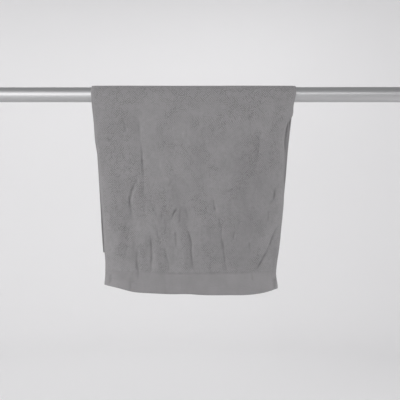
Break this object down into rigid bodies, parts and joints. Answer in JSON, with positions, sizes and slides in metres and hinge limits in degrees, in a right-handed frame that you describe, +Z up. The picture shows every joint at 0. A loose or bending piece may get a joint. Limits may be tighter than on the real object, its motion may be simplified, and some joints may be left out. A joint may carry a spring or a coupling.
{
  "type": "bath towel on a handrail",
  "caption": "Plain grey terry bath towel folded once over a round steel handrail, with uneven drops, soft creases and a flat band and turned hem at each end.",
  "frame": {"origin": "centre of the rail's left end face", "axes": "+X along the rail towards its right end, +Y from the long front drop to the short back drop, +Z up"},
  "size_m": [1.2, 0.0707, 0.5827],
  "materials": {
    "terry_cloth": "mid-grey cotton terry, matt, flat woven band and hem at each end",
    "rail_steel": "satin stainless steel tube"
  },
  "bodies": {
    "root": {"towel": "terry_cloth", "rail": "rail_steel"}
  },
  "joints": []
}
